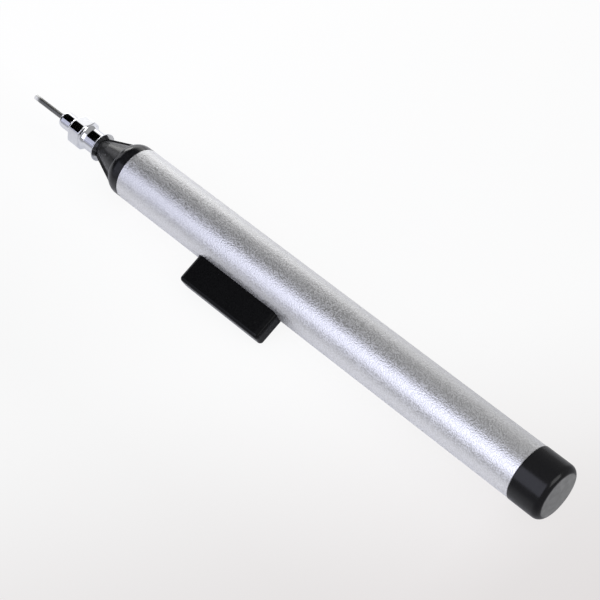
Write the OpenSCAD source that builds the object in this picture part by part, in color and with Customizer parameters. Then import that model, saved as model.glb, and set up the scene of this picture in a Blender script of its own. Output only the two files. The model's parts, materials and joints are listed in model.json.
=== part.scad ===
// Vacuum pick up pen: a tube barrel with a squeeze button, a tapered nose and a needle on a push-on hub.
// The pen lies as it rests on a table, nose towards -X, button towards -Y with its lower edge on the table.
// Lengths are in millimetres. Along the pen, x is counted from the barrel's front edge.

/* [Barrel] */
// Outside diameter of the tube
barrel_d = 14; // [13:0.1:16]
// Length of the tube
barrel_l = 126.3; // [100:0.1:150]
// Wall thickness of the tube
barrel_wall = 1; // [0.8:0.05:1.3]
// Chamfer on the outside edge of both ends
barrel_chamfer = 0.15; // [0.1:0.05:0.5]

/* [Button] */
// Distance from the barrel's front edge to the button
button_front = 29.6; // [26:0.1:36]
// Length of the button
button_l = 26.5; // [18:0.1:32]
// Width of the button
button_w = 5; // [4.2:0.1:6]
// Height of the press face above the tube
button_proud = 7.1; // [5:0.1:8.5]
// Radius of the upright corners
button_corner_r = 1.3; // [1:0.05:1.6]
// Radius of the edges round the press face
button_edge_r = 0.9; // [0.4:0.05:1]
// Wall thickness of the cored-out button
button_skin = 1.2; // [0.8:0.05:1.4]
// Number of cross ribs in the core
button_ribs = 2; // [1:1:4]
// Thickness of each cross rib
button_rib_t = 1; // [0.6:0.1:1.4]
// How far the lip reaches past the slot on every side
lip_overhang = 0.85; // [0.5:0.05:1]
// Thickness of the lip at its crown
lip_t = 1.75; // [1.5:0.05:2]
// Gap between the button and the slot
slot_gap = 0.15; // [0.05:0.05:0.25]

/* [Nose] */
// Length of the rounded shoulder
shoulder_l = 4.1; // [3.4:0.1:5]
// Radius of the shoulder's arc
shoulder_arc_r = 4; // [3.6:0.1:5]
// Diameter of the shoulder's front edge
crease_d = 12.1; // [11.4:0.1:12.8]
// Length of the cone
cone_l = 8.5; // [6:0.1:12]
// Step from the shoulder's front edge down to the cone
crease_step = 0.75; // [0.3:0.05:1]
// Thickness of the two ribs along the cone
rib_t = 1; // [0.6:0.1:1.6]
// Height of the ribs at the front of the cone
rib_h = 0.55; // [0.3:0.05:0.8]
// Length of the spigot in the barrel
spigot_l = 7; // [5:0.5:10]
// Diameter of the air bore
air_bore_d = 1.8; // [1.2:0.1:2.2]
// Diameter of the nipple behind the spigot
nipple_d = 4.8; // [4.2:0.1:5.2]
// Length of the nipple
nipple_l = 7; // [5.5:0.1:9]
// Height of the nipple's barb
barb_h = 0.5; // [0.3:0.05:0.6]
// Length of the nipple's barb
barb_l = 2.4; // [1.6:0.1:3.2]

/* [Push-on taper] */
// Diameter at the end of the male taper
taper_tip_d = 3.96; // [3.93:0.01:4.02]
// Length of the male taper
taper_l = 5.3; // [4.5:0.1:6]
// Change of diameter per millimetre of length
taper_rate = 0.06; // [0.05:0.005:0.07]

/* [Needle hub] */
// Gap between the nose's cone and the hub
hub_gap = 0.3; // [0.2:0.05:0.6]
// Turn of the hub about the pen's axis, from the button
hub_turn = 40; // [0:1:90]
// Diameter of the round flange
flange_d = 7.7; // [7:0.1:8]
// Thickness of the flange
flange_t = 0.5; // [0.4:0.05:1]
// Diameter of the neck
neck_d = 5.9; // [5.4:0.1:6.4]
// Length of the neck
neck_l = 3.6; // [2.5:0.1:5]
// Length of the cone between neck and block
hub_shoulder_l = 1.4; // [0.8:0.1:2]
// Width of the square block across its flats
block_w = 7; // [6.4:0.1:7.6]
// Length of the square block
block_l = 4; // [3:0.1:6]
// Cut at each corner of the square block
block_corner = 1.6; // [1:0.1:2]
// Length of the cone in front of the block
front_cone_l = 1.2; // [0.6:0.1:2]
// Diameter of the front boss
boss_d = 4.4; // [3.6:0.1:5]
// Length of the front boss
boss_l = 4; // [2.5:0.1:6]
// Radius round the end of the front boss
boss_round = 1; // [0.4:0.1:1.2]

/* [Needle] */
// Outside diameter of the needle tube
needle_d = 1.4; // [1.2:0.05:1.8]
// Bore of the needle tube
needle_bore_d = 0.6; // [0.4:0.05:0.7]
// Free length of the needle
needle_free_l = 11.3; // [6:0.1:25]
// Length of needle held in the hub
needle_seat_l = 6.6; // [5:0.1:7]
// Step that stops the needle at the hub's end
needle_step = 0.16; // [0.16:0.01:0.2]

/* [Bladder] */
// Length of the cone between the neck and the bulb
bulb_cone_l = 3; // [2:0.1:5]
// Length of the bulb behind its neck
bladder_l = 52; // [46:1:70]
// Wall thickness of the bulb
bladder_wall = 1; // [0.7:0.05:1.2]
// Gap between the bulb and the tube
bladder_gap = 0.15; // [0.05:0.05:0.4]
// Radius round the closed end
bladder_round = 2.5; // [1.5:0.1:3.5]

/* [Rear cap] */
// How far the cap stands proud of the tube
cap_step = 0.1; // [0.05:0.05:0.4]
// Length of the cap behind the tube
cap_l = 8.9; // [6:0.1:14]
// Radius round the cap's edge
cap_round = 1.9; // [1:0.1:3]
// Radius of the domed end
cap_dome_r = 40; // [20:0.5:80]
// Length of the cap's spigot in the tube
cap_spigot_l = 8; // [5:0.5:12]
// Wall thickness of the cap
cap_wall = 1.4; // [1:0.1:2]

/* [Hidden] */
// Clearance of a spigot, a taper or a nipple in the piece that it is pushed into
push_gap = 0.02;
// Gap between two pieces that slide on each other or touch lightly
touch_gap = 0.05;
// Clearance of the soldered needle in its seat
solder_gap = 0.01;
// How far a cutting shape runs past the face that it cuts
over = 1;
// Chamfer that leads the spigot into the tube
spigot_chamfer = 0.5;
// How much the tip of the barb lies under the nipple
barb_lead = 0.2;
// Corner radius of the button's core
core_corner_r = 0.3;
// Chamfer round the flange's rims
flange_chamfer = 0.1;
// Step from the block's flats down to the turned shoulders
shoulder_step = 0.3;
// Turned chamfer at the ends of the square block: its depth under the flats, its height and its length
block_cut = 0.15;
block_cut_h = 1;
block_cut_l = 0.6;
// Room in the socket past the end of the male taper
socket_spare = 0.6;
// Thickness that the cone of the bulb gains along the pen
bulb_cone_t = 0.5;
// Distance from the cap's cavity to the start of its rolled edge
cavity_stop = 0.5;
turn_fn = 96;
small_fn = 48;

barrel_r = barrel_d / 2;
bore_r = barrel_r - barrel_wall;
cap_r = barrel_r + cap_step;

// Stations along the pen
crease_x = -shoulder_l;
cone_x = crease_x - cone_l;
taper_tip_x = cone_x - taper_l;
hub_x = cone_x - hub_gap;
flange_x = hub_x - flange_t;
neck_x = flange_x - neck_l;
block_rear_x = neck_x - hub_shoulder_l;
block_front_x = block_rear_x - block_l;
boss_x = block_front_x - front_cone_l;
boss_end_x = boss_x - boss_l;
needle_end_x = boss_end_x - needle_free_l;
nipple_end_x = spigot_l + nipple_l;
needle_seat_r = needle_d / 2 - needle_step;
cap_end_x = barrel_l + cap_l;

// Male taper: its radius at the end and at the cone
taper_tip_r = taper_tip_d / 2;
taper_base_r = taper_tip_r + taper_l * taper_rate / 2;

// Shoulder arc: tangent to the tube's outside, ending at the crease
crease_r = crease_d / 2;
arc_centre_r = barrel_r - shoulder_arc_r;
arc_centre_x = crease_x + sqrt(pow(shoulder_arc_r, 2) - pow(crease_r - arc_centre_r, 2));

// Cap: the edge radius runs tangent into the dome
dome_x = cap_end_x - cap_dome_r;
edge_r = cap_r - cap_round;
edge_x = dome_x + sqrt(pow(cap_dome_r - cap_round, 2) - pow(edge_r, 2));
dome_edge_r = edge_r * cap_dome_r / (cap_dome_r - cap_round);

// Button, measured outwards from the pen's axis
press_z = barrel_r + button_proud;
lip_z = bore_r - touch_gap - lip_t;
button_mid_x = button_front + button_l / 2;
slot_l = button_l + 2 * slot_gap;
slot_w = button_w + 2 * slot_gap;
slot_corner_r = button_corner_r + slot_gap;
lip_l = slot_l + 2 * lip_overhang;
lip_w = slot_w + 2 * lip_overhang;
core_l = button_l - 2 * button_skin;
core_w = button_w - 2 * button_skin;

// Nipple and the neck of the bladder on it
nipple_r = nipple_d / 2;
barb_r = nipple_r + barb_h;
barb_x = nipple_end_x - barb_l;
barb_tip_r = nipple_r - barb_lead;
neck_r = barb_r + bladder_wall;
bulb_r = bore_r - bladder_gap;
bulb_x = nipple_end_x + bulb_cone_l;
bulb_end_x = bulb_x + bladder_l;
bulb_flat_z = lip_z - touch_gap;

// Roll that lays the button's lower edge on the table beside the cap
roll_arm = press_z - button_edge_r;
roll_side = button_w / 2 - button_edge_r;
roll_reach = sqrt(pow(roll_arm, 2) + pow(roll_side, 2));
roll = asin((cap_r - button_edge_r) / roll_reach) - atan2(roll_side, roll_arm);
reach_y = roll_arm * cos(roll) + roll_side * sin(roll) + button_edge_r;
mid_x = (needle_end_x + cap_end_x) / 2;
mid_y = (cap_r - reach_y) / 2;

// Lays the pen on the table, with its box centred over the origin
module lay() {
  translate([-mid_x, -mid_y, cap_r])
    rotate([roll, 0, 0])
      children();
}

// Turns a profile of [radius, x] about the pen's axis
module turned(facets = turn_fn) {
  rotate([0, 90, 0])
    rotate_extrude($fn = facets)
      children();
}

// Part of a profile: from radius r1 to r2 and from x1 to x2
module band(r1, r2, x1, x2) {
  translate([r1, x1])
    square([r2 - r1, x2 - x1]);
}

// A straight round bore along the pen's axis
module bore(r, x1, x2) {
  translate([x1, 0, 0])
    rotate([0, 90, 0])
      cylinder(r = r, h = x2 - x1, $fn = small_fn);
}

// Points local Z out of the pen towards the button
module outwards() {
  translate([button_mid_x, 0, 0])
    rotate([90, 0, 0])
      children();
}

// Rectangle with round corners, centred
module plan(l, w, r) {
  square([l - 2 * r, w], center = true);
  square([l, w - 2 * r], center = true);
  for (sx = [-1, 1], sy = [-1, 1])
    translate([sx * (l / 2 - r), sy * (w / 2 - r)])
      circle(r = r, $fn = small_fn);
}

// Upright block from z1 to z2 with round corners and a rolled edge of radius e round its top
module cushion(l, w, r, e, z1, z2) {
  translate([0, 0, z1])
    linear_extrude(z2 - e - z1)
      plan(l, w, r);
  translate([0, 0, z1])
    linear_extrude(z2 - z1)
      plan(l - 2 * e, w - 2 * e, r - e);
  for (s = [-1, 1]) {
    translate([r - l / 2, s * (w / 2 - e), z2 - e])
      rotate([0, 90, 0])
        cylinder(r = e, h = l - 2 * r, $fn = small_fn);
    translate([s * (l / 2 - e), w / 2 - r, z2 - e])
      rotate([90, 0, 0])
        cylinder(r = e, h = w - 2 * r, $fn = small_fn);
  }
  for (sx = [-1, 1], sy = [-1, 1])
    translate([sx * (l / 2 - r), sy * (w / 2 - r), z2 - e])
      rotate_extrude($fn = small_fn)
        translate([r - e, 0])
          intersection() {
            circle(r = e, $fn = small_fn);
            translate([(e - r) / 2, -e])
              square([r, 2 * e]);
          }
}

// Tube with chamfered ends and the button's slot
module barrel() {
  color("silver")
    lay()
      difference() {
        turned()
          polygon([
            [bore_r, 0],
            [barrel_r - barrel_chamfer, 0],
            [barrel_r, barrel_chamfer],
            [barrel_r, barrel_l - barrel_chamfer],
            [barrel_r - barrel_chamfer, barrel_l],
            [bore_r, barrel_l]
          ]);
        outwards()
          linear_extrude(barrel_d)
            plan(slot_l, slot_w, slot_corner_r);
      }
}

// Plate through the pen's axis whose edges stand out of the cone as two ribs, in line with the button
module cone_ribs() {
  front_r = taper_base_r + rib_h;
  linear_extrude(rib_t, center = true)
    polygon([[cone_x, -front_r], [cone_x, front_r], [crease_x, crease_r], [crease_x, -crease_r]]);
}

// Profile of the shoulder, the cone and the male taper
module nose_front() {
  intersection() {
    translate([arc_centre_r, arc_centre_x])
      circle(r = shoulder_arc_r, $fn = turn_fn);
    band(0, barrel_r, crease_x, arc_centre_x);
  }
  band(0, crease_r, crease_x, 0);
  band(0, barrel_r, arc_centre_x, 0);
  polygon([
    [0, taper_tip_x],
    [taper_tip_r, taper_tip_x],
    [taper_base_r, cone_x],
    [crease_r - crease_step, crease_x],
    [0, crease_x]
  ]);
}

// Shoulder, ribbed cone, male taper, spigot and barbed nipple, with the air bore through all of them
module nose_cone() {
  color("#1c1c1e")
    lay()
      difference() {
        union() {
          cone_ribs();
          turned() {
            nose_front();
            nose_rear();
          }
        }
        bore(air_bore_d / 2, taper_tip_x - over, nipple_end_x + over);
      }
}

// Profile of the spigot in the tube and the barbed nipple behind it
module nose_rear() {
  polygon([
    [0, 0],
    [bore_r - push_gap, 0],
    [bore_r - push_gap, spigot_l - spigot_chamfer],
    [bore_r - push_gap - spigot_chamfer, spigot_l],
    [nipple_r, spigot_l],
    [nipple_r, barb_x],
    [barb_r, barb_x],
    [barb_tip_r, nipple_end_x],
    [0, nipple_end_x]
  ]);
}

// The hub's square block: a bar with cut corners whose ends are turned to a chamfer
module grip_block() {
  h = block_w / 2;
  c = h - block_corner;
  chamfer_r = h - block_cut;
  rim_r = chamfer_r + block_cut_h;
  intersection() {
    translate([block_front_x, 0, 0])
      rotate([0, 90, 0])
        linear_extrude(block_l)
          rotate(-hub_turn)
            polygon([[h, -c], [h, c], [c, h], [-c, h], [-h, c], [-h, -c], [-c, -h], [c, -h]]);
    turned()
      polygon([
        [0, block_front_x],
        [chamfer_r, block_front_x],
        [rim_r, block_front_x + block_cut_l],
        [rim_r, block_rear_x - block_cut_l],
        [chamfer_r, block_rear_x],
        [0, block_rear_x]
      ]);
  }
}

// Front boss, square block, neck and flange, with the female taper and the needle's seat
module needle_hub() {
  seat_r = needle_seat_r + solder_gap;
  seat_x = boss_end_x + needle_seat_l;
  socket_r = taper_tip_r + push_gap;
  socket_x = taper_tip_x - socket_spare;
  mouth_x = hub_x + over;
  shoulder_r = block_w / 2 - shoulder_step;
  flange_r = flange_d / 2;
  boss_r = boss_d / 2;
  color("gainsboro")
    lay()
      difference() {
        union() {
          turned() {
            band(0, boss_r, boss_end_x + boss_round, boss_x);
            band(0, boss_r - boss_round, boss_end_x, boss_x);
            translate([boss_r - boss_round, boss_end_x + boss_round])
              circle(r = boss_round, $fn = small_fn);
            polygon([
              [0, boss_x],
              [boss_r, boss_x],
              [shoulder_r, block_front_x],
              [shoulder_r, block_rear_x],
              [neck_d / 2, neck_x],
              [neck_d / 2, flange_x],
              [flange_r - flange_chamfer, flange_x],
              [flange_r, flange_x + flange_chamfer],
              [flange_r, hub_x - flange_chamfer],
              [flange_r - flange_chamfer, hub_x],
              [0, hub_x]
            ]);
          }
          grip_block();
        }
        turned(small_fn)
          polygon([
            [0, socket_x],
            [socket_r - socket_spare * taper_rate / 2, socket_x],
            [socket_r + (mouth_x - taper_tip_x) * taper_rate / 2, mouth_x],
            [0, mouth_x]
          ]);
        bore(air_bore_d / 2, seat_x, socket_x + over / 2);
        bore(seat_r, boss_end_x - over, seat_x + over / 2);
      }
}

// Tube with a full round at its open end and a thinner end in the hub, stepped against the hub's face
module needle() {
  wall = (needle_d - needle_bore_d) / 2;
  color("lightsteelblue")
    lay()
      turned(small_fn) {
        band(needle_bore_d / 2, needle_d / 2, needle_end_x + wall / 2, boss_end_x);
        band(needle_bore_d / 2, needle_seat_r, boss_end_x - over, boss_end_x + needle_seat_l);
        translate([needle_bore_d / 2 + wall / 2, needle_end_x + wall / 2])
          circle(r = wall / 2, $fn = small_fn);
      }
}

// Cored-out button with a lip inside the tube that keeps it from falling out
module button() {
  color("#232325")
    lay()
      difference() {
        union() {
          outwards()
            cushion(button_l, button_w, button_corner_r, button_edge_r, lip_z, press_z);
          intersection() {
            bore_plug();
            outwards()
              translate([0, 0, lip_z])
                linear_extrude(bore_r)
                  plan(lip_l, lip_w, button_corner_r);
          }
        }
        outwards()
          difference() {
            translate([0, 0, lip_z - over])
              linear_extrude(press_z - button_skin - lip_z + over)
                plan(core_l, core_w, core_corner_r);
            for (i = [1 : button_ribs])
              translate([core_l * (i / (button_ribs + 1) - 0.5), 0, press_z / 2])
                cube([button_rib_t, 2 * core_w, 2 * press_z], center = true);
          }
      }
}

// What just fits in the tube under the slot
module bore_plug() {
  translate([button_mid_x - lip_l, 0, 0])
    rotate([0, 90, 0])
      cylinder(r = bore_r - touch_gap, h = 2 * lip_l, $fn = turn_fn);
}

// Everything on the far side of a plane that lies z out from the axis, under the button
module below(z) {
  translate([-barrel_l, -z, -barrel_d])
    cube([3 * barrel_l, barrel_d + z, 2 * barrel_d]);
}

// Half profile of a bulb: a neck, a cone and a body with a rounded end
module bulb_profile(neck, body, x_neck, x_cone, x_body, x_end, round_r) {
  polygon([
    [0, x_neck],
    [neck, x_neck],
    [neck, x_cone],
    [body, x_body],
    [body, x_end - round_r],
    [0, x_end - round_r]
  ]);
  band(0, body - round_r, x_body, x_end);
  translate([body - round_r, x_end - round_r])
    circle(r = round_r, $fn = small_fn);
}

// Hollow rubber bulb with a flat under the button and a neck that grips the nipple
module bladder() {
  fit_r = nipple_r + push_gap;
  throat_r = barb_tip_r + push_gap;
  inside_r = bulb_r - bladder_wall;
  inside_end_x = bulb_end_x - bladder_wall;
  neck_end_x = spigot_l + touch_gap;
  color("#3a3634")
    lay()
      difference() {
        intersection() {
          turned()
            bulb_profile(neck_r, bulb_r, neck_end_x, nipple_end_x, bulb_x, bulb_end_x, bladder_round);
          below(bulb_flat_z);
        }
        intersection() {
          turned()
            bulb_profile(throat_r, inside_r, nipple_end_x, nipple_end_x + bulb_cone_t, bulb_x + bulb_cone_t,
              inside_end_x, bladder_round - bladder_wall);
          below(bulb_flat_z - bladder_wall);
        }
        turned(small_fn)
          polygon([
            [0, spigot_l - over],
            [fit_r, spigot_l - over],
            [fit_r, barb_x - push_gap],
            [barb_r + push_gap, barb_x - push_gap],
            [barb_r + push_gap, barb_x],
            [throat_r, nipple_end_x + push_gap],
            [0, nipple_end_x + push_gap]
          ]);
      }
}

// Hollow plug: a spigot in the tube, a straight rim, a rolled edge and a dome tangent to it
module rear_cap() {
  color("#161618")
    lay()
      difference() {
        turned() {
          band(0, bore_r - push_gap, barrel_l - cap_spigot_l, barrel_l);
          band(0, cap_r, barrel_l, edge_x);
          translate([edge_r, edge_x])
            circle(r = cap_round, $fn = turn_fn);
          intersection() {
            translate([0, dome_x])
              circle(r = cap_dome_r, $fn = 4 * turn_fn);
            band(0, dome_edge_r, edge_x, cap_end_x + over);
          }
        }
        bore(bore_r - push_gap - cap_wall, barrel_l - cap_spigot_l - over, edge_x - cavity_stop);
      }
}

barrel();
nose_cone();
needle_hub();
needle();
button();
bladder();
rear_cap();
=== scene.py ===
"""Looks of a vacuum pick up pen: finishes, hub, squeeze bulb and rear cap, the studio and the camera."""

import json
import logging
import math
from dataclasses import dataclass
from enum import Enum
from typing import Any

import bpy
import numpy as np
from mathutils import Matrix, Vector


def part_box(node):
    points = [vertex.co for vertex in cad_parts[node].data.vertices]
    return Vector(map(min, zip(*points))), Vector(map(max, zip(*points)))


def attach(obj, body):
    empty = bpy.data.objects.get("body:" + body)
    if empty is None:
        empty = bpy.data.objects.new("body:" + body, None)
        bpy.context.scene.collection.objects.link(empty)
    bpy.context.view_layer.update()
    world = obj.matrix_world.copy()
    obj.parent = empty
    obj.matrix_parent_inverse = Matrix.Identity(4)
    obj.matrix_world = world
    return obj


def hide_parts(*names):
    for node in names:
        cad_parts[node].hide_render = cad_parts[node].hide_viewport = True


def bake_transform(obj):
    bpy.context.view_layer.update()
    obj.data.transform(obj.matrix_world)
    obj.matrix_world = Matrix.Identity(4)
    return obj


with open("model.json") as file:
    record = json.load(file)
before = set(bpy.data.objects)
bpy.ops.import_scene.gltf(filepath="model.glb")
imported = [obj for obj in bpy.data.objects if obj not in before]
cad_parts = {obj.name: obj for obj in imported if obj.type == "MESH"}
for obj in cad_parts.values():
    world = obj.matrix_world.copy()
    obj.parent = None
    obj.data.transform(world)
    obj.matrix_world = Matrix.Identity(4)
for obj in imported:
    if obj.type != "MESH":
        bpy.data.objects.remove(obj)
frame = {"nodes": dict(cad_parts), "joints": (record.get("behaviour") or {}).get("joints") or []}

LOG = logging.getLogger("pen")
MM = 0.001
# mesh attribute that marks the satin region, which carries painted sheen and reflection
SATIN_SHEEN = "satin"
ALONG_PEN = (1.0, 0.0, 0.0)
WHITE = (1.0, 1.0, 1.0)


class Body(Enum):
    """The bodies that pieces ride on."""

    PEN = "pen_body"
    BUTTON = "press_button"


class Node(Enum):
    """The CAD nodes of the pen."""

    BARREL = "barrel"
    NOSE = "nose_cone"
    HUB = "needle_hub"
    NEEDLE = "needle"
    BUTTON = "button"
    BLADDER = "bladder"
    CAP = "rear_cap"


class Slot(Enum):
    """The record's material slots of the pieces that are built here."""

    CHROME = "chrome_plate"
    RUBBER = "black_rubber"
    CAP = "black_cap"


# Node trees


class Graph:
    """Adds nodes to one node tree and links them."""

    def __init__(self, tree: bpy.types.NodeTree) -> None:
        """Keeps the tree that the nodes go into."""
        self.tree = tree

    def add(self, kind: str, sockets: dict[Any, Any] | None = None, **settings: Any) -> bpy.types.Node:
        """Adds one node.

        Args:
            kind: the node's type name.
            sockets: values or output sockets for its inputs, by name or number.
            settings: the node's own properties.

        Returns:
            The new node.
        """
        node = self.tree.nodes.new(kind)
        for name, value in settings.items():
            setattr(node, name, value)
        for name, value in (sockets or {}).items():
            self.put(node.inputs[name], value)
        return node

    def put(self, socket: bpy.types.NodeSocket, value: Any) -> None:
        """Feeds an input.

        Args:
            socket: the input.
            value: an output socket, which is linked to it, or the input's own value.
        """
        if isinstance(value, bpy.types.NodeSocket):
            self.tree.links.new(value, socket)
        else:
            socket.default_value = value

    def math(self, operation: str, a: Any, b: Any) -> bpy.types.NodeSocket:
        """Adds a Math node on two values or sockets and returns its result."""
        return self.add("ShaderNodeMath", {0: a, 1: b}, operation=operation).outputs[0]

    def dot(self, vector: Any, way: tuple[float, float, float]) -> bpy.types.NodeSocket:
        """Adds a dot product of a vector with a fixed direction and returns its value."""
        return self.add("ShaderNodeVectorMath", {0: vector, 1: way}, operation="DOT_PRODUCT").outputs["Value"]

    def remap(
        self, value: Any, low: Any, high: Any, to_low: Any = 0.0, to_high: Any = 1.0
    ) -> bpy.types.NodeSocket:
        """Adds a clamped Map Range from low..high to to_low..to_high and returns its result."""
        sockets = {"Value": value, "From Min": low, "From Max": high, "To Min": to_low, "To Max": to_high}
        return self.add("ShaderNodeMapRange", sockets).outputs["Result"]

    def blend(self, factor: Any, first: Any, second: Any) -> bpy.types.NodeSocket:
        """Adds a colour Mix.

        Args:
            factor: 0 for the first colour, 1 for the second.
            first: a colour of three parts, or a socket.
            second: a colour of three parts, or a socket.

        Returns:
            The mixed colour.
        """
        node = self.add("ShaderNodeMix", data_type="RGBA")
        for name, value in (("Factor_Float", factor), ("A_Color", first), ("B_Color", second)):
            socket = next(s for s in node.inputs if s.identifier == name)
            self.put(socket, (*value, 1.0) if isinstance(value, tuple) else value)
        return next(s for s in node.outputs if s.identifier == "Result_Color")


class Effect(Enum):
    """Surface effects of the finishes, each one shared node group."""

    GRAIN = "Fine grain"
    HANDLING = "Handling marks"
    DUST = "Dust specks"
    DRAWN = "Drawn lines"


class EffectGroup:
    """One shared node group, built the first time it is asked for.

    A range gives the values of a noise, or the distances in cells, where a mask is 0 and where it is 1.
    """

    INPUTS = {"Vector": "NodeSocketVector", "Scale": "NodeSocketFloat"}
    OUTPUTS = {"Mask": "NodeSocketFloat", "Height": "NodeSocketFloat"}
    FINER = 2.3
    FINE_SHARE = 0.3
    PIT_RANGE = (0.4, 0.9)
    QUICKER = 6.0
    PATCH_RANGE = (0.35, 0.7)
    SLOWER = 0.31
    SPECK_RANGE = (0.16, 0.06)
    SPARSE_RANGE = (0.62, 0.72)
    LINE_STRETCH = (0.015, 1.0, 1.0)
    LINE_RANGE = (0.35, 0.65)

    def __init__(self, effect: Effect) -> None:
        """Names the effect that the group holds."""
        self.effect = effect

    def tree(self) -> bpy.types.NodeTree:
        """Returns the effect's node tree, made once.

        Returns:
            A shader node tree with a vector and a scale in, and a mask and a height out.
        """
        found = bpy.data.node_groups.get(self.effect.value)
        if found:
            return found
        tree = bpy.data.node_groups.new(self.effect.value, "ShaderNodeTree")
        for name, kind in self.INPUTS.items():
            tree.interface.new_socket(name, in_out="INPUT", socket_type=kind)
        for name, kind in self.OUTPUTS.items():
            tree.interface.new_socket(name, in_out="OUTPUT", socket_type=kind)
        graph = Graph(tree)
        given = graph.add("NodeGroupInput").outputs
        mask, height = getattr(self, self.effect.name.lower())(graph, given["Vector"], given["Scale"])
        graph.add("NodeGroupOutput", {"Mask": mask, "Height": height})
        return tree

    def grain(self, graph: Graph, vector: Any, scale: Any) -> tuple[Any, Any]:
        """Pits of a blasted or moulded skin: a noise plus a share of a finer one.

        Args:
            graph: the group's tree.
            vector: where the effect is asked for.
            scale: its scale, in cells per metre.

        Returns:
            The mask and the height.
        """
        coarse = graph.add("ShaderNodeTexNoise", {"Vector": vector, "Scale": scale, "Detail": 0.0})
        finer = graph.math("MULTIPLY", scale, self.FINER)
        fine = graph.add("ShaderNodeTexNoise", {"Vector": vector, "Scale": finer, "Detail": 1.0})
        share = graph.math("MULTIPLY", fine.outputs["Fac"], self.FINE_SHARE)
        height = graph.math("ADD", share, coarse.outputs["Fac"])
        return graph.remap(height, *self.PIT_RANGE), height

    def handling(self, graph: Graph, vector: Any, scale: Any) -> tuple[Any, Any]:
        """Wiped and touched patches: a slow warped noise, with a quicker one that breaks it up.

        Args:
            graph: the group's tree.
            vector: where the effect is asked for.
            scale: its scale, in cells per metre.

        Returns:
            The mask and the height.
        """
        warped = {"Vector": vector, "Scale": scale, "Detail": 4.0, "Distortion": 0.9}
        slow = graph.add("ShaderNodeTexNoise", warped)
        quick = graph.math("MULTIPLY", scale, self.QUICKER)
        broken = graph.add("ShaderNodeTexNoise", {"Vector": vector, "Scale": quick, "Detail": 3.0})
        patch = graph.remap(slow.outputs["Fac"], *self.PATCH_RANGE)
        height = graph.math("MULTIPLY", patch, broken.outputs["Fac"])
        return height, height

    def dust(self, graph: Graph, vector: Any, scale: Any) -> tuple[Any, Any]:
        """Sparse specks: near the centres of random cells, kept only where a slow noise is high.

        Args:
            graph: the group's tree.
            vector: where the effect is asked for.
            scale: its scale, in cells per metre.

        Returns:
            The mask and the height.
        """
        cells = graph.add("ShaderNodeTexVoronoi", {"Vector": vector, "Scale": scale}, feature="F1")
        slower = graph.math("MULTIPLY", scale, self.SLOWER)
        sparse = graph.add("ShaderNodeTexNoise", {"Vector": vector, "Scale": slower, "Detail": 2.0})
        near = graph.remap(cells.outputs["Distance"], *self.SPECK_RANGE)
        kept = graph.remap(sparse.outputs["Fac"], *self.SPARSE_RANGE)
        mask = graph.math("MULTIPLY", near, kept)
        return mask, mask

    def drawn(self, graph: Graph, vector: Any, scale: Any) -> tuple[Any, Any]:
        """Die lines along the pen: a noise whose pattern is stretched along X.

        Args:
            graph: the group's tree.
            vector: where the effect is asked for.
            scale: its scale, in cells per metre.

        Returns:
            The mask and the height.
        """
        long_x = graph.add("ShaderNodeMapping", {"Vector": vector, "Scale": self.LINE_STRETCH})
        lines = graph.add("ShaderNodeTexNoise", {"Vector": long_x.outputs[0], "Scale": scale, "Detail": 3.0})
        return graph.remap(lines.outputs["Fac"], *self.LINE_RANGE), lines.outputs["Fac"]


# Finishes


@dataclass(frozen=True)
class Finish:
    """What every finish has: a colour, a second colour that it varies to, and a range of roughness.

    Scales are in cells per metre and the bump's depth in metres.
    """

    name: str
    colour: tuple[float, float, float]
    shade: tuple[float, float, float]
    smooth: float
    rough: float
    grain_scale: float
    bump_depth: float
    relief: Effect = Effect.GRAIN
    handling_scale: float = 260.0
    handling_full: float = 0.6

    def material(self) -> bpy.types.Material:
        """Returns the finish's material, made once.

        Returns:
            A node material with one Principled shader.
        """
        found = bpy.data.materials.get(self.name)
        if found:
            return found
        made = bpy.data.materials.new(self.name)
        made.use_nodes = True
        made.node_tree.nodes.clear()
        graph = Graph(made.node_tree)
        place = graph.add("ShaderNodeTexCoord").outputs["Object"]
        shader = graph.add("ShaderNodeBsdfPrincipled")
        graph.add("ShaderNodeOutputMaterial", {"Surface": shader.outputs["BSDF"]})
        self.paint(graph, shader, place)
        return made

    def effect(self, graph: Graph, effect: Effect, place: Any, scale: float) -> bpy.types.Node:
        """Places a shared effect in this finish's tree at its own scale, in cells per metre."""
        tree = EffectGroup(effect).tree()
        return graph.add("ShaderNodeGroup", {"Vector": place, "Scale": scale}, node_tree=tree)

    def paint(self, graph: Graph, shader: bpy.types.Node, place: Any) -> None:
        """Links colour, roughness and bump: the relief varies the colour, handling varies the roughness.

        Args:
            graph: the material's tree.
            shader: its Principled shader.
            place: the Object coordinates.
        """
        relief = self.effect(graph, self.relief, place, self.grain_scale)
        marks = self.effect(graph, Effect.HANDLING, place, self.handling_scale)
        base = graph.blend(relief.outputs["Mask"], self.colour, self.shade)
        gloss = graph.remap(marks.outputs["Mask"], 0.0, self.handling_full, self.smooth, self.rough)
        bump = graph.add("ShaderNodeBump", {"Height": relief.outputs["Height"], "Distance": self.bump_depth})
        graph.put(shader.inputs["Base Color"], base)
        graph.put(shader.inputs["Roughness"], gloss)
        graph.put(shader.inputs["Normal"], bump.outputs["Normal"])


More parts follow.
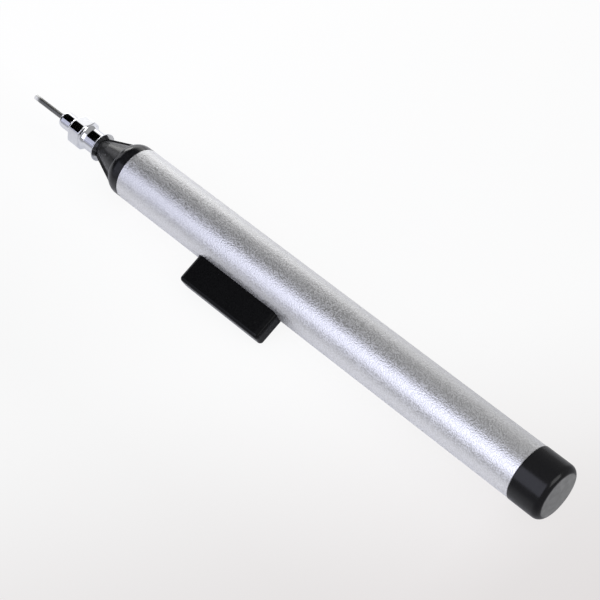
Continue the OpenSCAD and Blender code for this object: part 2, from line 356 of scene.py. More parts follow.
@dataclass(frozen=True)
class BlastedMetal(Finish):
    """Bead blasted, anodised metal, whose pits are smoother and darker than the land between them."""

    pit_edge: tuple[float, float] = (0.3, 0.7)

    def paint(self, graph: Graph, shader: bpy.types.Node, place: Any) -> None:
        """Makes the skin metallic and takes its colour, roughness and bump from the pits.

        Args:
            graph: the material's tree.
            shader: its Principled shader.
            place: the Object coordinates.
        """
        pits = self.effect(graph, self.relief, place, self.grain_scale)
        land = graph.remap(pits.outputs["Mask"], *self.pit_edge)
        gloss = graph.remap(land, 0.0, 1.0, self.smooth, self.rough)
        bump = graph.add("ShaderNodeBump", {"Height": pits.outputs["Height"], "Distance": self.bump_depth})
        graph.put(shader.inputs["Metallic"], 1.0)
        graph.put(shader.inputs["Base Color"], graph.blend(land, self.shade, self.colour))
        graph.put(shader.inputs["Roughness"], gloss)
        graph.put(shader.inputs["Normal"], bump.outputs["Normal"])


@dataclass(frozen=True)
class PolishedMetal(Finish):
    """Plated metal."""

    def paint(self, graph: Graph, shader: bpy.types.Node, place: Any) -> None:
        """Makes the skin metallic."""
        super().paint(graph, shader, place)
        graph.put(shader.inputs["Metallic"], 1.0)


@dataclass(frozen=True)
class DrawnTube(PolishedMetal):
    """Drawn tube, dull along its length, with a highlight painted on its tip as a pale, less metallic colour.
    Lengths in metres from its tip.
    """

    relief: Effect = Effect.DRAWN
    # painted highlight: where the tip's pale, less metallic colour is full, where it starts, and that colour
    highlight_full: float = 0.00085
    highlight_start: float = 0.00215
    tip_highlight_colour: tuple[float, float, float] = (0.80, 0.80, 0.78)
    tip_highlight_metal: float = 0.3

    def paint(self, graph: Graph, shader: bpy.types.Node, place: Any) -> None:
        """Paints a highlight on the tip of the tube, as a pale and less metallic colour.

        Args:
            graph: the material's tree.
            shader: its Principled shader.
            place: the Object coordinates.
        """
        super().paint(graph, shader, place)
        dull = shader.inputs["Base Color"].links[0].from_socket
        along = graph.add("ShaderNodeSeparateXYZ", {0: place}).outputs["X"]
        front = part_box(Node.NEEDLE.value)[0].x
        # painted highlight: the base colour fades to a pale, less metallic colour at the tip
        tip = graph.remap(along, front + self.highlight_start, front + self.highlight_full)
        graph.put(shader.inputs["Base Color"], graph.blend(tip, dull, self.tip_highlight_colour))
        graph.put(shader.inputs["Metallic"], graph.remap(tip, 0.0, 1.0, 1.0, self.tip_highlight_metal))


@dataclass(frozen=True)
class MouldedPlastic(Finish):
    """Moulded black plastic with a trace of dust, which may have a satin region whose lighter colour is
    painted sheen.
    """

    specular: float = 0.5
    dust_scale: float = 420.0
    dust_colour: tuple[float, float, float] = (0.30, 0.30, 0.30)
    # painted sheen: the satin region's lighter colours stand in for light falling on it
    satin_colour: tuple[float, float, float] = (0.05, 0.05, 0.05)
    satin_shade: tuple[float, float, float] = (0.01, 0.01, 0.01)
    satin_scale: float = 900.0
    satin_rough: float = 0.3

    def satin_mask(self, graph: Graph, place: Any) -> bpy.types.NodeSocket | None:
        """Returns where the skin is satin and carries painted sheen; nowhere, unless a kind of plastic says
        so.
        """
        return None

    def paint(self, graph: Graph, shader: bpy.types.Node, place: Any) -> None:
        """Lays the satin region, whose lighter mottled colour is painted sheen, and dust specks over the
        moulded skin.

        Args:
            graph: the material's tree.
            shader: its Principled shader.
            place: the Object coordinates.
        """
        super().paint(graph, shader, place)
        graph.put(shader.inputs["Specular IOR Level"], self.specular)
        skin = shader.inputs["Base Color"].links[0].from_socket
        satin = self.satin_mask(graph, place)
        # painted sheen: the satin region takes a lighter mottled colour and a rougher skin
        if satin:
            mottle = self.effect(graph, Effect.HANDLING, place, self.satin_scale).outputs["Mask"]
            dull = graph.blend(mottle, self.satin_shade, self.satin_colour)
            skin = graph.blend(satin, skin, dull)
            gloss = shader.inputs["Roughness"].links[0].from_socket
            graph.put(shader.inputs["Roughness"], graph.remap(satin, 0.0, 1.0, gloss, self.satin_rough))
        dust = self.effect(graph, Effect.DUST, place, self.dust_scale)
        graph.put(shader.inputs["Base Color"], graph.blend(dust.outputs["Mask"], skin, self.dust_colour))


@dataclass(frozen=True)
class ConedPlastic(MouldedPlastic):
    """Moulded plastic that is satin between two places before the barrel's front edge, with a painted sheen
    in its lighter colour there. Lengths in metres.
    """

    cone_front: float = 0.01245
    cone_rear: float = 0.00435
    cone_fade: float = 0.0004

    def satin_mask(self, graph: Graph, place: Any) -> bpy.types.NodeSocket | None:
        """Makes a mask that is 1 on the cone and fades out at both of its ends.

        Args:
            graph: the material's tree.
            place: the Object coordinates.

        Returns:
            The mask.
        """
        along = graph.add("ShaderNodeSeparateXYZ", {0: place}).outputs["X"]
        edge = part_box(Node.BARREL.value)[0].x
        begins = graph.remap(along, edge - self.cone_front - self.cone_fade, edge - self.cone_front)
        ends = graph.remap(along, edge - self.cone_rear, edge - self.cone_rear - self.cone_fade)
        return graph.math("MULTIPLY", begins, ends)


@dataclass(frozen=True)
class FacedPlastic(MouldedPlastic):
    """Moulded plastic whose satin region, grey with a painted reflection, is stored on the mesh as an
    attribute.
    """

    def satin_mask(self, graph: Graph, place: Any) -> bpy.types.NodeSocket | None:
        """Returns the mesh's own satin attribute, which also places the painted reflection."""
        return graph.add("ShaderNodeAttribute", attribute_name=SATIN_SHEEN).outputs["Fac"]


ALUMINIUM = BlastedMetal(
    name="blasted aluminium",
    colour=(0.93, 0.93, 0.94),
    shade=(0.81, 0.81, 0.82),
    smooth=0.31,
    rough=0.50,
    grain_scale=3000.0,
    bump_depth=0.00005,
)
CHROME = PolishedMetal(
    name="polished plating",
    colour=(0.86, 0.87, 0.90),
    shade=(0.80, 0.81, 0.84),
    smooth=0.04,
    rough=0.09,
    grain_scale=1500.0,
    bump_depth=0.0000005,
)
STEEL = DrawnTube(
    name="drawn steel tube",
    colour=(0.26, 0.26, 0.25),
    shade=(0.16, 0.16, 0.15),
    smooth=0.34,
    rough=0.44,
    grain_scale=9000.0,
    bump_depth=0.000004,
)
# the cone takes the satin defaults: a rougher skin, and lighter colours that are painted sheen
NOSE_BLACK = ConedPlastic(
    name="black moulded nose",
    colour=(0.005, 0.005, 0.006),
    shade=(0.010, 0.010, 0.011),
    smooth=0.14,
    rough=0.22,
    grain_scale=1600.0,
    bump_depth=0.000006,
    specular=0.4,
    dust_colour=(0.10, 0.10, 0.10),
)
BUTTON_BLACK = MouldedPlastic(
    name="black satin button",
    colour=(0.0025, 0.0025, 0.003),
    shade=(0.005, 0.005, 0.0055),
    smooth=0.12,
    rough=0.17,
    grain_scale=2600.0,
    bump_depth=0.000002,
    specular=0.15,
)
CAP_BLACK = FacedPlastic(
    name="black gloss cap",
    colour=(0.002, 0.002, 0.003),
    shade=(0.004, 0.004, 0.005),
    smooth=0.18,
    rough=0.26,
    grain_scale=2200.0,
    bump_depth=0.000001,
    specular=0.34,
    # painted reflection: the end face's grey colours stand in for the table mirrored in it
    satin_colour=(0.36, 0.36, 0.36),
    satin_shade=(0.20, 0.20, 0.20),
    satin_scale=500.0,
)
RUBBER = MouldedPlastic(
    name="black bulb rubber",
    colour=(0.040, 0.038, 0.036),
    shade=(0.060, 0.057, 0.054),
    smooth=0.62,
    rough=0.80,
    grain_scale=2400.0,
    bump_depth=0.00001,
    specular=0.35,
)


# Surfaces


@dataclass(frozen=True)
class PenAxis:
    """The pen's own directions: x from the barrel's front edge, out towards the button, side upwards."""

    origin: np.ndarray
    out: np.ndarray
    side: np.ndarray

    @classmethod
    def from_frame(cls) -> "PenAxis":
        """Reads the axis from the barrel's box and the button's direction from its joint.

        Returns:
            The pen's axis, in metres.
        """
        low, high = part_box(Node.BARREL.value)
        middle = (low + high) / 2
        inwards = np.array(frame["joints"][0]["axis"], float)
        out = -inwards / np.linalg.norm(inwards)
        side = np.array([0.0, out[2], -out[1]])
        return cls(np.array([low.x, middle.y, middle.z]), out, side)

    def points(self, x: np.ndarray, r: np.ndarray, turn: np.ndarray) -> np.ndarray:
        """Places points given by x, radius and turn from the button.

        Args:
            x: places along the pen.
            r: distances from the axis.
            turn: angles from the button towards the upper side, in radians.

        Returns:
            The points, as origin + x X + r (cos turn out + sin turn side).
        """
        along = x[..., None] * np.array(ALONG_PEN)
        across = np.cos(turn)[..., None] * self.out + np.sin(turn)[..., None] * self.side
        return self.origin + along + r[..., None] * across

    def carried(self, x: np.ndarray, r: np.ndarray, turn: np.ndarray) -> np.ndarray:
        """Places a grid of points, with an outline along its rows that is carried round the axis.

        Args:
            x: places along the pen, one for each row, in mm.
            r: distances from the axis on the grid, in mm.
            turn: angles from the button, as a row.

        Returns:
            The points, row after row, in metres.
        """
        x_grid = np.broadcast_to(x[:, None], r.shape)
        turn_grid = np.broadcast_to(turn, r.shape)
        return self.points(x_grid * MM, r * MM, turn_grid).reshape(-1, 3)


CORNER_SHARE = 0.4
CORNER_LEAD = 0.05


def rounded(corners: np.ndarray, cut: float, steps: int) -> np.ndarray:
    """Rounds the inner corners of an open outline.

    A corner P between neighbours A and B becomes the curve (1-t)^2 S + 2 t (1-t) P + t^2 E, where S and E lie
    on the two sides, cut away from P or CORNER_SHARE of the side where that is less. One more point on each
    side, CORNER_LEAD of it further on, keeps the shading of the curve off the straight stretch.

    Args:
        corners: the outline's corners, one row each.
        cut: length taken off each side of a corner.
        steps: points on each rounded corner.

    Returns:
        The outline's points, ends included.
    """
    before = corners[:-2] - corners[1:-1]
    after = corners[2:] - corners[1:-1]
    lengths = [np.linalg.norm(side, axis=1, keepdims=True) for side in (before, after)]
    start = corners[1:-1] + before * np.minimum(cut / lengths[0], CORNER_SHARE)
    end = corners[1:-1] + after * np.minimum(cut / lengths[1], CORNER_SHARE)
    t = np.linspace(0.0, 1.0, steps)[None, :, None]
    curve = (1 - t) ** 2 * start[:, None] + 2 * t * (1 - t) * corners[1:-1][:, None] + t**2 * end[:, None]
    lead_in = start + before * CORNER_LEAD
    lead_out = end + after * CORNER_LEAD
    inner = np.concatenate([lead_in[:, None], curve, lead_out[:, None]], axis=1).reshape(-1, 2)
    return np.concatenate([corners[:1], inner, corners[-1:]])


def soft_min(values: np.ndarray, blend: float) -> np.ndarray:
    """Smallest of several arrays, with the edges between them rounded.

    The result is -blend log(sum exp(-value / blend)) over the first axis.

    Args:
        values: the arrays, stacked along the first axis.
        blend: how far the rounding reaches.

    Returns:
        One array.
    """
    least = values.min(axis=0)
    return least - blend * np.log(np.exp(-(values - least) / blend).sum(axis=0))


def grid_faces(rows: int, columns: int, closed_rows: bool) -> np.ndarray:
    """Quads of a grid whose columns run round.

    Args:
        rows: points along the outline.
        columns: points round the axis.
        closed_rows: whether the outline's last point joins its first.

    Returns:
        Four point numbers for each quad.
    """
    row = np.arange(rows if closed_rows else rows - 1)[:, None]
    column = np.arange(columns)[None, :]
    next_row, next_column = (row + 1) % rows, (column + 1) % columns
    corners = (
        row * columns + column,
        row * columns + next_column,
        next_row * columns + next_column,
        next_row * columns + column,
    )
    return np.stack(np.broadcast_arrays(*corners), axis=-1).reshape(-1, 4)


def pole_fans(rows: int, columns: int, quads: np.ndarray) -> np.ndarray:
    """Triangles that close a grid's first and last row on their poles.

    Args:
        rows: rows of the grid; its two poles are numbered after its points.
        columns: points round the axis.
        quads: the grid's quads, which give the way round.

    Returns:
        Three point numbers for each triangle.
    """
    column = np.arange(columns)
    following = (column + 1) % columns
    pole = np.full(columns, rows * columns)
    last = (rows - 1) * columns
    first_fan = np.stack([pole, following, column], axis=1)
    last_fan = np.stack([pole + 1, last + column, last + following], axis=1)
    fans = np.concatenate([first_fan, last_fan])
    return fans[:, ::-1] if quads[0, 0] > quads[0, -1] else fans


def outward(points: np.ndarray, faces: np.ndarray) -> np.ndarray:
    """Turns all quads over if the volume that they close is negative.

    Args:
        points: the mesh's points.
        faces: its quads.

    Returns:
        The quads, facing outwards.
    """
    a, b, c, d = (points[faces[:, k]] for k in range(4))
    volume = (a * (np.cross(b, c) + np.cross(c, d))).sum()
    return faces if volume > 0 else faces[:, ::-1]


def turns(columns: int) -> np.ndarray:
    """Returns even angles round the axis, as a row."""
    return np.linspace(0.0, 2 * math.pi, columns, endpoint=False)[None, :]


def closed_shell(
    axis: PenAxis, x: np.ndarray, r: np.ndarray, turn: np.ndarray, poles: tuple[float, float]
) -> tuple[np.ndarray, list[list[int]]]:
    """Carries an outline round the axis and closes each of its ends in a point on the axis.

    Args:
        axis: the pen's axis.
        x: places along the pen, one for each row, in mm.
        r: distances from the axis on the grid, in mm.
        turn: angles from the button, as a row.
        poles: where the two closing points lie along the pen, in mm.

    Returns:
        The points in metres, and the faces as lists of point numbers.
    """
    points = axis.carried(x, r, turn)
    quads = outward(points, grid_faces(len(x), turn.size, closed_rows=False))
    fans = pole_fans(len(x), turn.size, quads)
    ends = axis.points(np.array(poles) * MM, np.zeros(2), np.zeros(2))
    return np.concatenate([points, ends]), quads.tolist() + fans.tolist()


def make_object(name: str, points: np.ndarray, faces: list[list[int]], finish: Finish) -> bpy.types.Object:
    """Makes a smooth mesh object at the origin.

    Args:
        name: the piece's name.
        points: its points, in metres.
        faces: its faces as lists of point numbers.
        finish: what it is dressed in.

    Returns:
        The new object, linked to the scene.
    """
    mesh = bpy.data.meshes.new(name)
    mesh.from_pydata(points.tolist(), [], faces)
    mesh.validate()
    mesh.shade_smooth()
    mesh.materials.append(finish.material())
    made = bpy.data.objects.new(name, mesh)
    bpy.context.scene.collection.objects.link(made)
    return made


# Sub-assemblies


@dataclass(frozen=True)
class KeptPiece:
    """A CAD node that keeps its shape and takes a finish."""

    node: Node
    finish: Finish

    def dress(self) -> bpy.types.Object:
        """Puts the finish in the node's material slots.

        Returns:
            The node's object.
        """
        piece = frame["nodes"][self.node.value]
        for slot in piece.material_slots:
            slot.material = self.finish.material()
        return piece


@dataclass(frozen=True)
class NeedleHub:
    """Plated hub with soft edges: boss, square block, neck, flange and the tapered socket. Lengths in mm."""

    axis: PenAxis
    finish: Finish
    boss_d: float = 4.4
    boss_l: float = 4.0
    boss_cut: float = 1.15
    seat_d: float = 1.1
    seat_l: float = 6.6
    front_cone_l: float = 1.2
    block_w: float = 7.0
    block_l: float = 4.0
    block_corner: float = 1.6
    block_turn_deg: float = 40.0
    block_planes: int = 8
    least_facing: float = 0.2
    shoulder_r: float = 3.2
    chamfer_r: float = 3.35
    chamfer_rate: float = 1.0 / 0.6
    shoulder_l: float = 1.4
    neck_d: float = 5.9
    flange_d: float = 7.7
    flange_t: float = 0.5
    flange_bevel: float = 0.3
    socket_tip_r: float = 2.0
    socket_l: float = 5.6
    socket_rate: float = 0.03
    air_d: float = 1.8
    edge_cut: float = 0.14
    edge_blend: float = 0.05
    edge_steps: int = 6
    block_rows: int = 64
    columns: int = 384

    def front(self) -> np.ndarray:
        """Outline from the seat's mouth over the boss to the block.

        Returns:
            The outline's points (x, r).
        """
        x0 = self.x_front()
        corners = [
            (x0, self.seat_d / 2),
            (x0, self.boss_d / 2),
            (x0 + self.boss_l, self.boss_d / 2),
            (x0 + self.boss_l + self.front_cone_l, self.shoulder_r),
        ]
        nose = rounded(np.array(corners[:3]), self.boss_cut, 2 * self.edge_steps)
        foot = rounded(np.array(corners[1:]), self.edge_cut, self.edge_steps)
        return np.concatenate([nose[:-1], foot[1:]])

    def rear(self) -> np.ndarray:
        """Outline from the block over the neck and flange, down the socket to the seat.

        Returns:
            The outline's points (x, r).
        """
        x0 = self.x_front()
        x1 = self.x_rear()
        block_end = x0 + self.boss_l + self.front_cone_l + self.block_l
        socket_x = x1 - self.socket_l
        corners = [
            (block_end, self.shoulder_r),
            (block_end + self.shoulder_l, self.neck_d / 2),
            (x1 - self.flange_t, self.neck_d / 2),
            (x1 - self.flange_t, self.flange_d / 2 - self.flange_bevel),
            (x1 - self.flange_t + self.flange_bevel, self.flange_d / 2),
            (x1, self.flange_d / 2),
            (x1, self.socket_tip_r + self.socket_rate * self.socket_l),
            (socket_x, self.socket_tip_r),
            (socket_x, self.air_d / 2),
            (x0 + self.seat_l, self.air_d / 2),
            (x0 + self.seat_l, self.seat_d / 2),
            (x0, self.seat_d / 2),
        ]
        return rounded(np.array(corners), self.edge_cut, self.edge_steps)[:-1]

    def x_front(self) -> float:
        """Returns where the boss ends, in mm from the barrel's front edge."""
        return (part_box(Node.HUB.value)[0].x - self.axis.origin[0]) / MM

    def x_rear(self) -> float:
        """Returns where the flange ends, in mm from the barrel's front edge."""
        return (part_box(Node.HUB.value)[1].x - self.axis.origin[0]) / MM

    def block_radius(self, x: np.ndarray, turn: np.ndarray) -> np.ndarray:
        """Radius of the square block.

        In each direction it is the soft minimum of the distances to four flats, four cut corners and the two
        turned chamfers, where a plane d away whose normal is at angle a lies d / cos(turn - a) from the axis.

        Args:
            x: places along the block from its front, as a column.
            turn: angles round the axis, as a row.

        Returns:
            The radii on the grid.
        """
        flat = self.block_w / 2
        cut = (2 * flat - self.block_corner) / math.sqrt(2)
        number = np.arange(self.block_planes)[:, None, None]
        angles = math.radians(self.block_turn_deg) + 2 * math.pi * number / self.block_planes
        reach = np.where(number % 2 == 0, flat, cut)
        planes = reach / np.maximum(np.cos(turn - angles), self.least_facing)
        ends = [self.chamfer_r + self.chamfer_rate * deep for deep in (x, self.block_l - x)]
        shape = (len(x), turn.size)
        layers = [np.broadcast_to(p, shape) for p in (*planes, *ends)]
        return soft_min(np.stack(layers), self.edge_blend)

    def build(self) -> bpy.types.Object:
        """Carries the outline round the axis, with the square block's radius in its place.

        Returns:
            The hub, which stands for the CAD hub and rides on the pen.
        """
        front, rear = self.front(), self.rear()
        turn = turns(self.columns)
        ease = (1 - np.cos(np.linspace(0.0, math.pi, self.block_rows))) / 2
        along = (self.block_l * ease)[:, None]
        block_x = front[-1, 0] + along[:, 0]
        x = np.concatenate([front[:, 0], block_x, rear[:, 0]])
        spread = np.ones_like(turn)
        r = np.concatenate([front[:, 1:] * spread, self.block_radius(along, turn), rear[:, 1:] * spread])
        points = self.axis.carried(x, r, turn)
        faces = outward(points, grid_faces(len(x), self.columns, closed_rows=True))
        hub = make_object("hub_plated", points, faces.tolist(), self.finish)
        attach(hub, Body.PEN.value)
        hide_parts(Node.HUB.value)
        return hub


@dataclass(frozen=True)
class Bladder:
    """Hollow rubber bulb on the nose's nipple, with a flat under the button. Lengths in mm."""

    axis: PenAxis
    finish: Finish
    neck_r: float = 3.9
    grip_r: float = 2.42
    barb_r: float = 2.92
    throat_r: float = 2.22
    neck_l: float = 6.95
    barb_l: float = 2.4
    cone_l: float = 3.0
    body_r: float = 5.85
    waist_r: float = 5.2
    wall: float = 1.0
    flat: float = 4.15
    end_cut: float = 2.5
    edge_blend: float = 0.12
    least_facing: float = 0.05
    steps: int = 8
    body_rows: int = 40
    columns: int = 160
    press_from: tuple[float, float] = (14.0, 3.9)
    press_to: tuple[float, float] = (28.3, 4.15)
    press_slope: float = 0.8

    def outline(self, inset: float, neck: float) -> np.ndarray:
        """Outline (x, r) of the bulb from its neck to the closed end, with even rows on its straight stretch.

        Args:
            inset: how far it lies inside the outer skin.
            neck: radius of the neck.

        Returns:
            The outline's points; the last lies on the axis.
        """
        low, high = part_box(Node.BLADDER.value)
        x0 = (low.x - self.axis.origin[0]) / MM
        x1 = (high.x - self.axis.origin[0]) / MM - inset
        cone = x0 + self.neck_l + inset / 2
        body = self.body_r - inset
        corners = [(x0, neck), (cone, neck), (cone + self.cone_l, body), (x1, body), (x1, 0.0)]
        bends = rounded(np.array(corners), self.end_cut - inset, self.steps)
        straight = int(np.diff(bends[:, 0]).argmax())
        rows = np.linspace(bends[straight], bends[straight + 1], self.body_rows + 2)[1:-1]
        return np.concatenate([bends[: straight + 1], rows, bends[straight + 1 :]])

    def skin(self, outline: np.ndarray, inset: float, turn: np.ndarray) -> np.ndarray:
        """Radii of a skin: the outline, narrowed to an oval sideways and cut by the flat under the button.

        The oval's radius is the outline's, times 1 / sqrt(cos^2 + (body / waist)^2 sin^2) of the turn, and
        the flat lies flat / cos(turn) from the axis.

        Args:
            outline: the outline (x, r).
            inset: how far it lies inside the outer skin.
            turn: angles round the axis, as a row.

        Returns:
            The radii on the grid.
        """
        share = np.clip((outline[:, 1:] - self.neck_r) / (self.body_r - inset - self.neck_r), 0.0, 1.0)
        squeeze = 1 + share * ((self.body_r / self.waist_r) ** 2 - 1)
        oval = outline[:, 1:] / np.sqrt(np.cos(turn) ** 2 + squeeze * np.sin(turn) ** 2)
        plane = (self.flat - inset) / np.maximum(np.cos(turn), self.least_facing)
        layers = np.stack([oval, np.broadcast_to(plane, oval.shape)])
        return np.minimum(soft_min(layers, self.edge_blend), oval)

    def build(self) -> bpy.types.Object:
        """Carries both skins round the axis and joins them at the neck's mouth; each closes in a pole.

        Returns:
            The bulb, which stands for the CAD bladder.
        """
        turn = turns(self.columns)
        outer = self.outline(0.0, self.neck_r)[:-1]
        inner = self.outline(self.wall, self.throat_r)
        mouth = outer[0, 0]
        barb = mouth + self.neck_l - self.barb_l
        grip = np.array([(mouth, self.grip_r), (barb, self.grip_r), (barb, self.barb_r)])
        x = np.concatenate([outer[::-1, 0], grip[:, 0], inner[1:-1, 0]])
        ring = np.ones_like(turn)
        r = np.concatenate([
            self.skin(outer, 0.0, turn)[::-1],
            grip[:, 1:] * ring,
            self.skin(inner, self.wall, turn)[1:-1],
        ])
        points, faces = closed_shell(self.axis, x, r, turn, (x[0], x[-1]))
        bulb = make_object("bladder_bulb", points, faces, self.finish)
        self.bend(bulb)
        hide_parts(Node.BLADDER.value)
        return bulb

    def bend(self, bulb: bpy.types.Object) -> None:
        """Works out the ends of a blend along which the flat would follow the button, but does not use them;
        it only bakes the bulb's transform.

        The share that follows the button rises with f = slope out + rate x: it is 0 at the neck's end and 1
        at the flat under the front of the button, and the two ends of the blend lie along that gradient.

        Args:
            bulb: the finished bulb.
        """
        (x0, out0), (x1, out1) = self.press_from, self.press_to
        rate = (1 - self.press_slope * (out1 - out0)) / (x1 - x0)
        gradient = np.array([rate, self.press_slope])
        step = gradient / (gradient @ gradient)
        begin = np.array([x0, out0])
        ends = np.stack([begin, begin + step]) * MM
        start, end = self.axis.points(ends[:, 0], ends[:, 1], np.zeros(2))
        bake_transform(bulb)


@dataclass(frozen=True)
class RearCap:
    """Plug with a rounded edge and a gently domed end, hollow from the front. Lengths in mm."""

    axis: PenAxis
    finish: Finish
    side_r: float = 7.1
    round_r: float = 1.9
    dome_r: float = 40.0
    spigot_r: float = 5.98
    spigot_l: float = 8.0
    wall: float = 1.4
    cavity_stop: float = 0.5
    face_r: float = 6.0
    face_fade: float = 0.4
    edge_cut: float = 0.06
    edge_steps: int = 4
    arc_steps: int = 28
    columns: int = 224

    def arcs(self, x_end: float) -> np.ndarray:
        """Outline (x, r) of the dome and the rounded edge, which meet in one tangent.

        The dome is x = c + D cos a, r = D sin a with c = x_end - D, up to the angle whose radius line also
        carries the edge's centre; the edge then turns from that angle to 90 degrees round its own centre.

        Args:
            x_end: where the dome's middle lies.

        Returns:
            The outline from the middle outwards, without the middle itself.
        """
        middle = x_end - self.dome_r
        edge = self.side_r - self.round_r
        meet = math.asin(edge / (self.dome_r - self.round_r))
        centre = middle + (self.dome_r - self.round_r) * math.cos(meet)
        a = np.linspace(0.0, meet, self.arc_steps)[1:, None]
        b = np.linspace(meet, math.pi / 2, self.arc_steps)[1:, None]
        dome = np.hstack([middle + self.dome_r * np.cos(a), self.dome_r * np.sin(a)])
        roll = np.hstack([centre + self.round_r * np.cos(b), edge + self.round_r * np.sin(b)])
        return np.concatenate([dome, roll])

    def build(self) -> bpy.types.Object:
        """Carries the outline from the dome over the spigot into the cavity round the axis.

        Returns:
            The cap, which stands for the CAD cap and rides on the pen.
        """
        low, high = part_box(Node.CAP.value)
        x_end = (high.x - self.axis.origin[0]) / MM
        x_spigot = (low.x - self.axis.origin[0]) / MM
        x_rim = x_spigot + self.spigot_l
        arcs = self.arcs(x_end)
        x_cavity = arcs[-1, 0] - self.cavity_stop
        bore_r = self.spigot_r - self.wall
        corners = [
            (arcs[-1, 0], self.side_r),
            (x_rim, self.side_r),
            (x_rim, self.spigot_r),
            (x_spigot, self.spigot_r),
            (x_spigot, bore_r),
            (x_cavity, bore_r),
            (x_cavity, 0.0),
        ]
        rest = rounded(np.array(corners), self.edge_cut, self.edge_steps)
        outline = np.concatenate([arcs, rest[1:-1]])
        turn = turns(self.columns)
        r = outline[:, 1:] * np.ones_like(turn)
        points, faces = closed_shell(self.axis, outline[:, 0], r, turn, (x_end, x_cavity))
        cap = make_object("rear_cap_domed", points, faces, self.finish)
        # painted reflection: the end face is marked to take the grey colour that stands in for the mirrored
        # table
        on_end = outline[:, 0] > arcs[-1, 0]
        face = np.clip((self.face_r - outline[:, 1]) / self.face_fade, 0.0, 1.0) * on_end
        satin = np.concatenate([np.repeat(face, self.columns), [1.0, 0.0]])
        cap.data.attributes.new(SATIN_SHEEN, "FLOAT", "POINT").data.foreach_set("value", satin)
        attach(cap, Body.PEN.value)
        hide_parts(Node.CAP.value)
        return cap


# Studio


@dataclass(frozen=True)
class SoftBox:
    """Soft box that faces the pen. Lengths in metres; the radiance is what a mirror shows of it."""

    name: str
    place: tuple[float, float, float]
    width: float
    height: float
    radiance: float
    colour: tuple[float, float, float] = (0.80, 0.82, 1.0)

    def build(self) -> bpy.types.Object:
        """Hangs the box, with its width along the pen.

        Returns:
            The lamp.
        """
        lamp = bpy.data.lights.new(self.name, "AREA")
        lamp.shape = "RECTANGLE"
        lamp.size = self.width
        lamp.size_y = self.height
        lamp.energy = self.radiance * math.pi * self.width * self.height
        lamp.color = self.colour
        made = bpy.data.objects.new(self.name, lamp)
        way = Vector(self.place).normalized()
        along = (Vector(ALONG_PEN) - way * way.x).normalized()
        turn = Matrix((along, way.cross(along), way)).transposed().to_4x4()
        made.matrix_world = Matrix.Translation(Vector(self.place)) @ turn
        made.visible_camera = False
        bpy.context.scene.collection.objects.link(made)
        return made


SOFT_BOXES = (
    SoftBox("key_box", (0.02, -0.428, 0.392), 0.64, 0.54, 1.45),
    SoftBox("side_box", (-0.465, -0.450, 0.360), 0.33, 0.38, 0.72),
    SoftBox("rim_box", (-0.60, 0.29, 0.19), 0.24, 0.20, 3.6, WHITE),
    SoftBox("tip_box", (-0.68, 0.02, 0.21), 0.36, 0.22, 1.2, (0.95, 0.95, 1.0)),
    SoftBox("fill_box", (-0.44, -0.60, 0.12), 0.42, 0.22, 0.55),
    SoftBox("cap_box", (0.46, 0.125, 0.29), 0.28, 0.38, 1.9, WHITE),
)


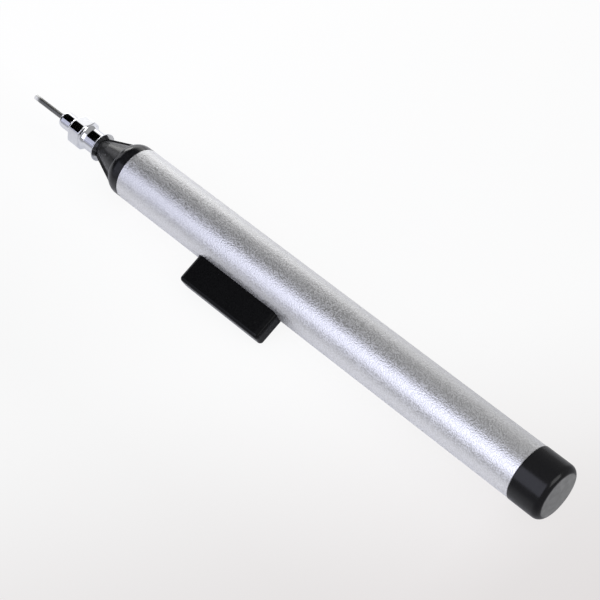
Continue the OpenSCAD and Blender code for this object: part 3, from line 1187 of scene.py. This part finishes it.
@dataclass(frozen=True)
class Studio:
    """White table in a dark room with a backdrop and a ceiling. Lengths in metres.

    Painted shade in the table's colour: behind the pen the table's colour dims from the needle's end to the
    cap's, and painted shade darkens it further to the front and beyond the cap. The pen mirrors all this,
    while the camera sees mostly the table's glow, which dims along glow_way.
    """

    table_half: float = 4.0
    table_colour: tuple[float, float, float] = (0.80, 0.80, 0.80)
    # painted shade: the colours below brighten and darken the table's diffuse colour in places, as light and
    # shade that the pen mirrors
    table_bright: tuple[float, float, float] = (0.98, 0.98, 0.98)
    table_painted_dim: tuple[float, float, float] = (0.60, 0.60, 0.60)
    table_slope: tuple[float, float] = (-0.07, 0.06)
    table_back: tuple[float, float] = (0.0, 0.012)
    table_front_shade: tuple[float, float, float] = (0.36, 0.36, 0.36)
    table_fade: tuple[float, float] = (-0.012, -0.05)
    table_end_shade: tuple[float, float, float] = (0.34, 0.34, 0.34)
    table_end_fade: tuple[float, float] = (0.076, 0.092)
    glow_far: tuple[float, float, float] = WHITE
    glow_near: tuple[float, float, float] = (0.795, 0.764, 0.761)
    glow_share: float = 0.90
    glow_way: tuple[float, float, float] = (0.850, -0.527, 0.0)
    glow_fade: tuple[float, float] = (0.010, 0.113)
    backdrop_way: tuple[float, float, float] = (-0.73, 0.68, 0.05)
    backdrop_edge: tuple[float, float] = (0.90, 0.985)
    backdrop_light: float = 1.9
    ceiling_x: tuple[float, float] = (-0.55, -0.38)
    ceiling_light: tuple[float, float] = (0.0, 0.36)
    sky_light: float = 0.61

    def table(self) -> bpy.types.Object:
        """Lays the white table under the pen.

        Returns:
            The table.
        """
        reach = self.table_half
        corners = [(-reach, -reach, 0.0), (reach, -reach, 0.0), (reach, reach, 0.0), (-reach, reach, 0.0)]
        mesh = bpy.data.meshes.new("table")
        mesh.from_pydata(corners, [], [[0, 1, 2, 3]])
        mesh.materials.append(self.table_material())
        made = bpy.data.objects.new("table", mesh)
        bpy.context.scene.collection.objects.link(made)
        return made

    def table_material(self) -> bpy.types.Material:
        """Mixes a diffuse white, which keeps the shadow and carries painted shade, with a glow that only the
        camera sees.

        Returns:
            The table's material.
        """
        made = bpy.data.materials.new("white table")
        made.use_nodes = True
        made.node_tree.nodes.clear()
        graph = Graph(made.node_tree)
        place = graph.add("ShaderNodeTexCoord").outputs["Object"]
        along = graph.add("ShaderNodeSeparateXYZ", {0: place}).outputs
        fade = graph.remap(graph.dot(place, self.glow_way), *self.glow_fade)
        fade.node.interpolation_type = "SMOOTHSTEP"
        shown = graph.blend(fade, self.glow_far, self.glow_near)
        glow = graph.add("ShaderNodeEmission", {"Color": shown, "Strength": 1.0})
        # painted shade: the table's colour dims along the pen behind it and darkens to the front and beyond
        # the cap
        front = graph.remap(along["Y"], *self.table_fade)
        slope = graph.remap(along["X"], *self.table_slope)
        sloped = graph.blend(slope, self.table_bright, self.table_painted_dim)
        back = graph.remap(along["Y"], *self.table_back)
        white = graph.blend(back, self.table_colour, sloped)
        sheet = graph.blend(front, white, self.table_front_shade)
        end = graph.remap(along["X"], *self.table_end_fade)
        matte = graph.add("ShaderNodeBsdfDiffuse", {"Color": graph.blend(end, sheet, self.table_end_shade)})
        camera = graph.add("ShaderNodeLightPath").outputs["Is Camera Ray"]
        share = graph.math("MULTIPLY", camera, self.glow_share)
        mixed = graph.add("ShaderNodeMixShader", {0: share, 1: matte.outputs[0], 2: glow.outputs[0]})
        graph.add("ShaderNodeOutputMaterial", {"Surface": mixed.outputs[0]})
        return made

    def room(self) -> None:
        """Makes the world round the pen.

        The camera sees white and matte skins an even sky. Gloss mirrors a dark room with a bright backdrop,
        whose ceiling brightens towards the cap's end.
        """
        world = bpy.data.worlds.new("room")
        bpy.context.scene.world = world
        world.use_nodes = True
        world.node_tree.nodes.clear()
        graph = Graph(world.node_tree)
        way = graph.add("ShaderNodeTexCoord").outputs["Generated"]
        nearness = graph.dot(way, tuple(Vector(self.backdrop_way).normalized()))
        ceiling = graph.remap(graph.dot(way, ALONG_PEN), *self.ceiling_x, *self.ceiling_light)
        shown = graph.remap(nearness, *self.backdrop_edge, ceiling, self.backdrop_light)
        path = graph.add("ShaderNodeLightPath").outputs
        gloss = graph.math("MAXIMUM", path["Is Glossy Ray"], path["Is Transmission Ray"])
        light = graph.remap(gloss, 0.0, 1.0, self.sky_light, shown)
        strength = graph.remap(path["Is Camera Ray"], 0.0, 1.0, light, 1.0)
        sky = graph.add("ShaderNodeBackground", {"Color": (*WHITE, 1.0), "Strength": strength})
        graph.add("ShaderNodeOutputWorld", {"Surface": sky.outputs[0]})


@dataclass(frozen=True)
class PhotoCamera:
    """Camera at the photograph's place. Lengths in metres, angles in degrees."""

    target: tuple[float, float, float] = (0.00892, 0.003005, 0.0071)
    distance: float = 0.428353
    azimuth: float = 47.357
    elevation: float = 51.879
    roll: float = -3.107
    sensor_mm: float = 36.0
    lens_mm: float = 110.437
    clip_start: float = 0.01

    def build(self) -> bpy.types.Object:
        """Stands the camera behind its target and rolls it about its own view.

        Returns:
            The camera, set as the scene's.
        """
        azimuth, elevation, roll = (math.radians(a) for a in (self.azimuth, self.elevation, self.roll))
        level = math.cos(elevation)
        back = Vector((math.sin(azimuth) * level, -math.cos(azimuth) * level, math.sin(elevation)))
        right = Vector((math.cos(azimuth), math.sin(azimuth), 0.0))
        up = back.cross(right)
        rolled_right = right * math.cos(roll) + up * math.sin(roll)
        rolled_up = up * math.cos(roll) - right * math.sin(roll)
        lens = bpy.data.cameras.new("photo_camera")
        lens.sensor_fit = "HORIZONTAL"
        lens.sensor_width = self.sensor_mm
        lens.lens = self.lens_mm
        lens.clip_start = self.clip_start
        made = bpy.data.objects.new("photo_camera", lens)
        turn = Matrix((rolled_right, rolled_up, back)).transposed().to_4x4()
        made.matrix_world = Matrix.Translation(Vector(self.target) + back * self.distance) @ turn
        bpy.context.scene.collection.objects.link(made)
        bpy.context.scene.camera = made
        return made


def main() -> None:
    """Builds the studio, dresses the pen and reports each piece."""
    logging.basicConfig(level=logging.INFO, format="%(message)s")
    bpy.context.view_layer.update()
    bpy.context.scene.view_settings.view_transform = "Standard"
    camera = PhotoCamera().build()
    LOG.info("camera %s", camera.name)
    studio = Studio()
    studio.room()
    for thing in (studio.table(), *(box.build() for box in SOFT_BOXES)):
        LOG.info("studio %s", thing.name)
    kept = (
        KeptPiece(Node.BARREL, ALUMINIUM),
        KeptPiece(Node.NOSE, NOSE_BLACK),
        KeptPiece(Node.NEEDLE, STEEL),
        KeptPiece(Node.BUTTON, BUTTON_BLACK),
    )
    for piece in kept:
        LOG.info("dressed %s", piece.dress().name)
    axis = PenAxis.from_frame()
    for piece in (NeedleHub(axis, CHROME), Bladder(axis, RUBBER), RearCap(axis, CAP_BLACK)):
        LOG.info("built %s", piece.build().name)


if __name__ == "__main__":
    main()
